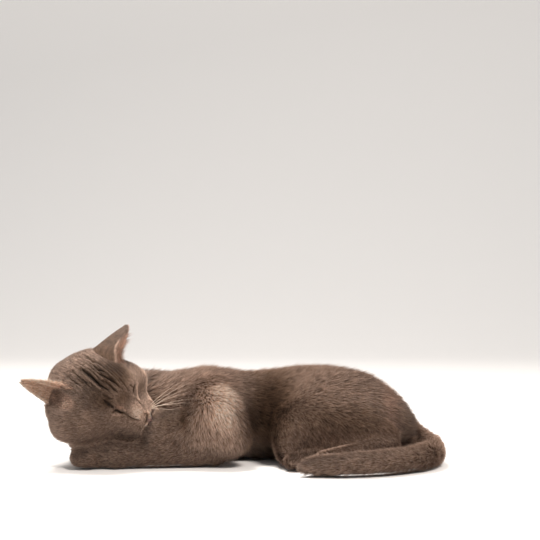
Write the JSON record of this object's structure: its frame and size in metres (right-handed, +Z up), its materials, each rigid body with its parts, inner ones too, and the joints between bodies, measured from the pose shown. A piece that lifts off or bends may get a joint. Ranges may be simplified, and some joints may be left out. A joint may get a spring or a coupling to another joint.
{
  "type": "sleeping cat model",
  "caption": "Life-size still model of a short-haired grey-brown cat asleep, curled on its right side with head turned onto its foreleg, ears spread and tail wrapped round its feet.",
  "frame": {"origin": "middle of the lying area, at floor level", "axes": "+Z up from the floor; the head lies towards -X and the rump towards +X; the belly, the feet and the forehead face -Y, and the back faces +Y"},
  "size_m": [0.4564, 0.2378, 0.1495],
  "materials": {
    "body_coat": "short dense plush fur, warm grey-brown, matt with a soft sheen",
    "leg_coat": "short dense plush fur, warm grey-brown, lighter on the elbow",
    "head_coat": "very short fur, grey-brown with dark creases along the brow",
    "tail_coat": "short dense fur, grey-brown",
    "ear_coat": "very short velvety fur outside, thin tan-pink skin inside",
    "eyelid": "thin lid with very short hair and a dark rim",
    "nose_skin": "bare, finely pebbled, slightly moist"
  },
  "bodies": {
    "root": {"belly": "body_coat", "chest": "body_coat", "ear_left": "ear_coat", "ear_right": "ear_coat", "eyelid_left": "eyelid", "eyelid_right": "eyelid", "forearm_left": "leg_coat", "forearm_right": "leg_coat", "forepaw_left": "leg_coat", "forepaw_right": "leg_coat", "head": "head_coat", "hind_foot_left": "leg_coat", "hind_foot_right": "leg_coat", "hips": "body_coat", "neck": "body_coat", "nose": "nose_skin", "shank_left": "leg_coat", "shank_right": "leg_coat", "tail_1": "tail_coat", "tail_2": "tail_coat", "tail_3": "tail_coat", "tail_4": "tail_coat", "thigh_left": "leg_coat", "upper_foreleg_left": "leg_coat"}
  },
  "joints": []
}
